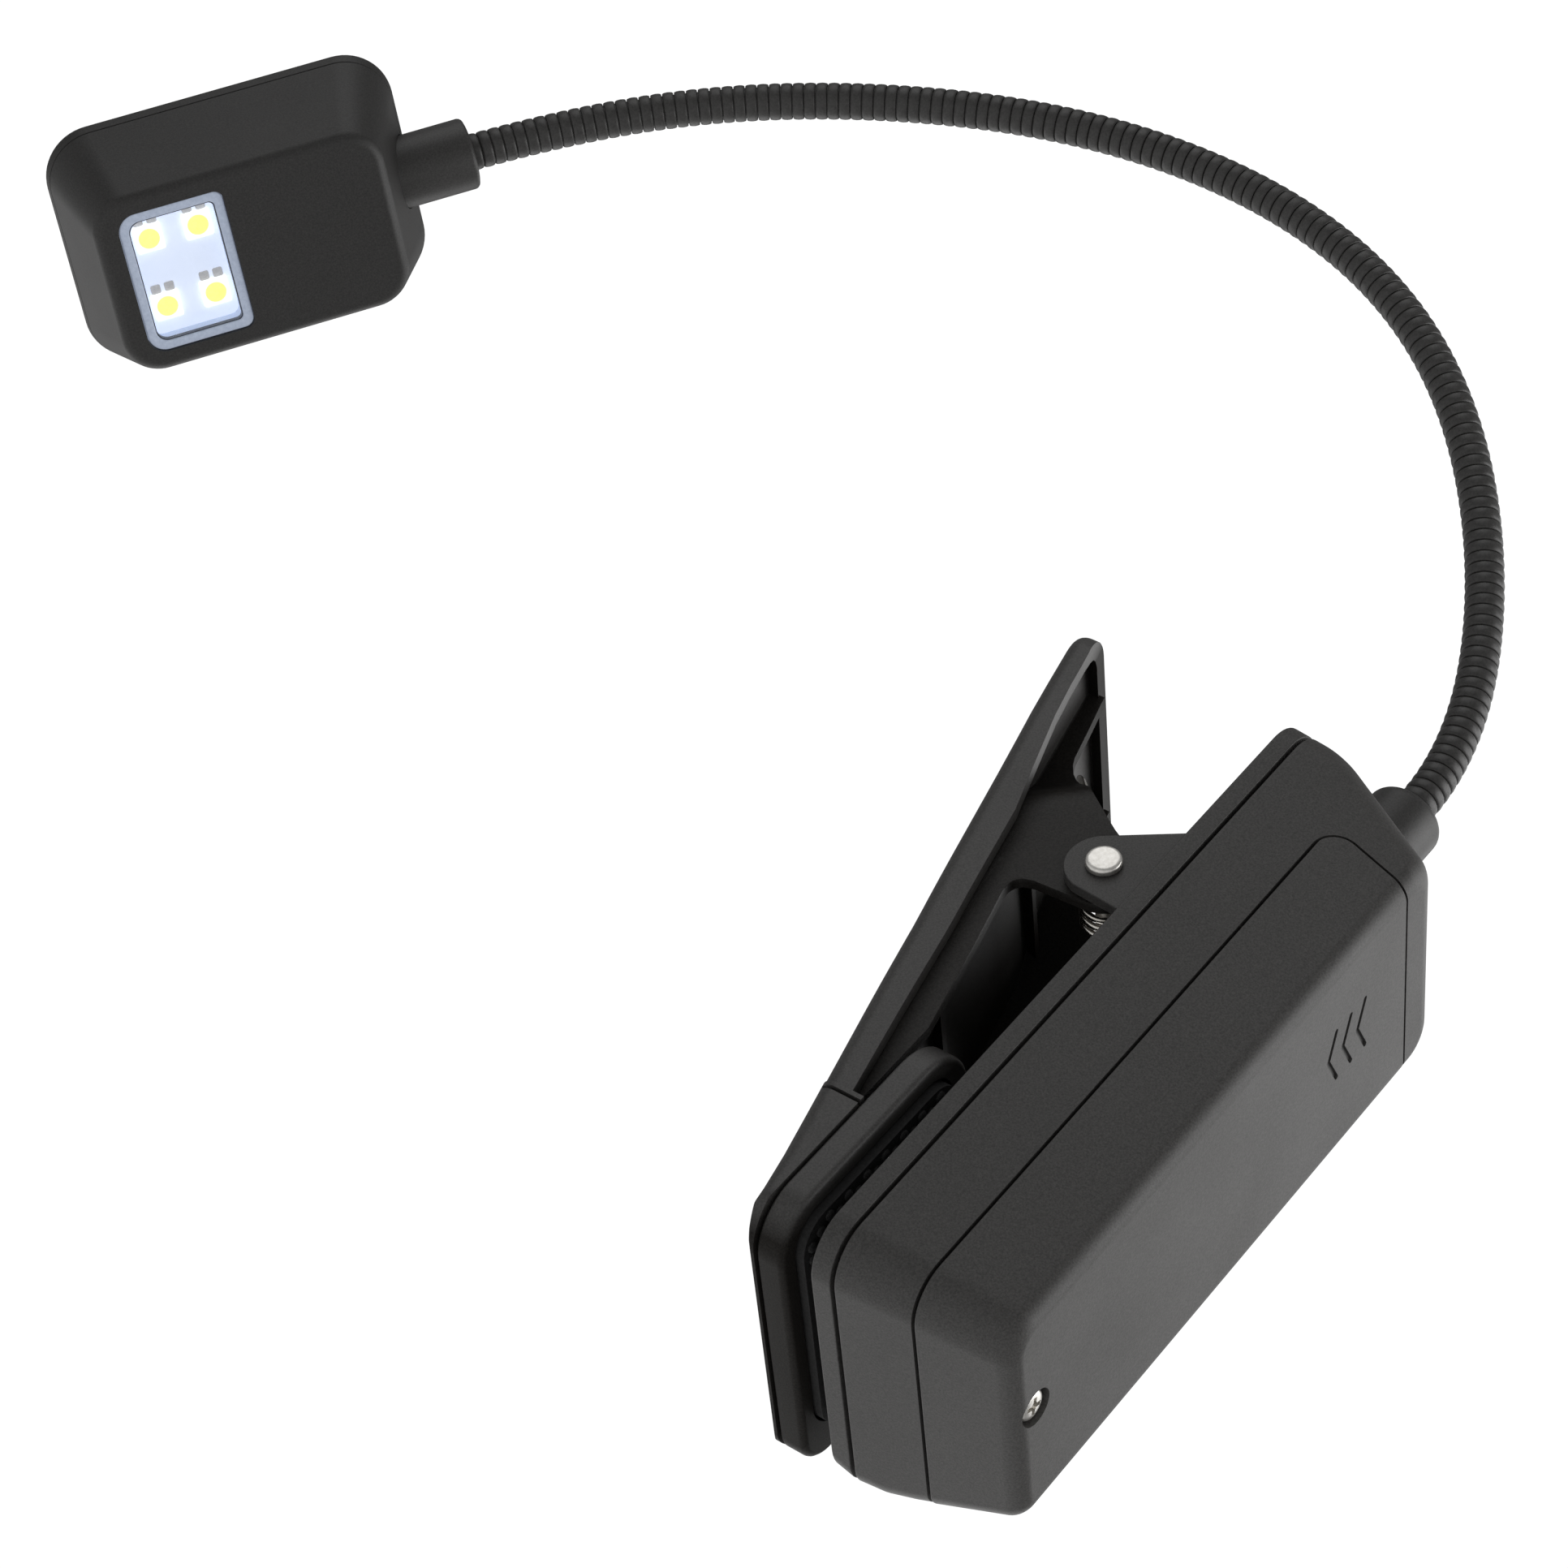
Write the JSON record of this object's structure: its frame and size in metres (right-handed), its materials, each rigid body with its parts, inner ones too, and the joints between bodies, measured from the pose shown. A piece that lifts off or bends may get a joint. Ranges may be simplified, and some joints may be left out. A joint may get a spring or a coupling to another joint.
{
  "type": "clip-on reading lamp",
  "caption": "Clip-on reading lamp: spring clip with studded rubber jaws on a slim battery box, bendable gooseneck and a boxy LED head.",
  "frame": {"origin": "centre of the fixed jaw pad's flat face, where the gripped board rests", "axes": "+Z along the battery box towards the gooseneck, +X from the clip side to the battery door, Y across the jaws"},
  "size_m": [0.2514, 0.0713, 0.2119],
  "materials": {
    "box_plastic": "matt black moulded ABS with a fine spark texture",
    "door_plastic": "matt black moulded ABS",
    "lever_plastic": "satin black moulded nylon",
    "head_plastic": "satin black moulded ABS",
    "collar_plastic": "satin black moulded collar",
    "button_plastic": "satin black",
    "switch_plastic": "black switch housing",
    "neck_coating": "black coated wound steel gooseneck",
    "pad_rubber": "matt black studded rubber",
    "nickel": "bright nickel plate",
    "spring_steel": "bright plated spring wire",
    "black_steel": "black steel screw",
    "circuit_board": "green circuit board",
    "white_board": "white LED board",
    "clear_window": "clear moulded window",
    "white_tray": "white reflector tray",
    "led_package": "white LED package with yellow phosphor",
    "cell_sleeve": "plain sleeve",
    "contact_nickel": "plated contact steel"
  },
  "bodies": {
    "box": {"back_plate": "box_plastic", "jaw_pad": "pad_rubber", "mid_housing": "box_plastic", "box_collar": "collar_plastic", "neck_nut": "nickel", "driver_board": "circuit_board", "pivot_pin": "nickel", "pin_clip": "nickel", "neck_1": "neck_coating", "torsion_spring": "spring_steel", "cell_1": "cell_sleeve", "cell_2": "cell_sleeve", "cell_3": "cell_sleeve", "contact_spring_1": "contact_nickel", "contact_spring_2": "contact_nickel", "contact_spring_3": "contact_nickel", "contact_plate_1": "contact_nickel", "contact_plate_2": "contact_nickel", "contact_plate_3": "contact_nickel", "plate_screw_1": "black_steel", "plate_screw_2": "black_steel", "plate_screw_3": "black_steel", "plate_screw_4": "black_steel"},
    "door": {"battery_door": "door_plastic"},
    "door_screw": {"door_screw": "nickel"},
    "lever": {"clip_lever": "lever_plastic", "pad_holder": "lever_plastic", "lever_pad": "pad_rubber"},
    "neck_link_2": {"neck_2": "neck_coating"},
    "neck_link_3": {"neck_3": "neck_coating"},
    "neck_link_4": {"neck_4": "neck_coating"},
    "neck_link_5": {"neck_5": "neck_coating"},
    "neck_link_6": {"neck_6": "neck_coating"},
    "head": {"neck_7": "neck_coating", "head_collar": "collar_plastic", "head_shell": "head_plastic", "head_back_cover": "head_plastic", "led_window": "clear_window", "reflector_tray": "white_tray", "led_board": "white_board", "led_1": "led_package", "led_2": "led_package", "led_3": "led_package", "led_4": "led_package", "switch_body": "switch_plastic", "head_screw_1": "black_steel", "head_screw_2": "black_steel"},
    "button": {"power_button": "button_plastic"}
  },
  "joints": [
    {"name": "lever_hinge", "type": "hinge", "parent": "box", "child": "lever", "pos_m": [-0.00515, 0, 0.0563], "axis": [0, 1, 0], "range_deg": [0, 34], "stiffness_Nm_per_rad": 0.6, "springref_deg": -34.38, "deforming": ["torsion_spring"]},
    {"name": "door_swing", "type": "hinge", "parent": "box", "child": "door", "pos_m": [0.0296, 0, 0.0754], "axis": [0, -1, 0], "range_deg": [0, 40]},
    {"name": "door_screw_out", "type": "slide", "parent": "door", "child": "door_screw", "axis": [1, 0, 0], "range_m": [0, 0.008]},
    {"name": "neck_bend_1", "type": "hinge", "parent": "box", "child": "neck_link_2", "pos_m": [0.00853, -0.00193, 0.12931], "axis": [0.0652, -0.9862, -0.152], "range_deg": [-16, 16]},
    {"name": "neck_sway_2", "type": "hinge", "parent": "neck_link_2", "child": "neck_link_3", "pos_m": [-0.01374, -0.01251, 0.1651], "axis": [0.7401, -0.0959, 0.6656], "range_deg": [-16, 16]},
    {"name": "neck_bend_3", "type": "hinge", "parent": "neck_link_3", "child": "neck_link_4", "pos_m": [-0.04979, -0.02199, 0.18689], "axis": [0.0852, -0.9655, -0.2461], "range_deg": [-16, 16]},
    {"name": "neck_bend_4", "type": "hinge", "parent": "neck_link_4", "child": "neck_link_5", "pos_m": [-0.09296, -0.02624, 0.18793], "axis": [0.1052, -0.9628, -0.249], "range_deg": [-16, 16]},
    {"name": "neck_sway_5", "type": "hinge", "parent": "neck_link_5", "child": "neck_link_6", "pos_m": [-0.13347, -0.02801, 0.17208], "axis": [-0.4879, -0.2665, 0.8312], "range_deg": [-16, 16]},
    {"name": "neck_bend_6", "type": "hinge", "parent": "neck_link_6", "child": "head", "pos_m": [-0.16677, -0.02832, 0.144], "axis": [0.1693, -0.9704, -0.1719], "range_deg": [-16, 16]},
    {"name": "power_press", "type": "slide", "parent": "head", "child": "button", "axis": [0.8053, -0.2261, -0.548], "range_m": [0, 0.0008], "stiffness_N_per_m": 600, "springref_m": -0.0012}
  ]
}
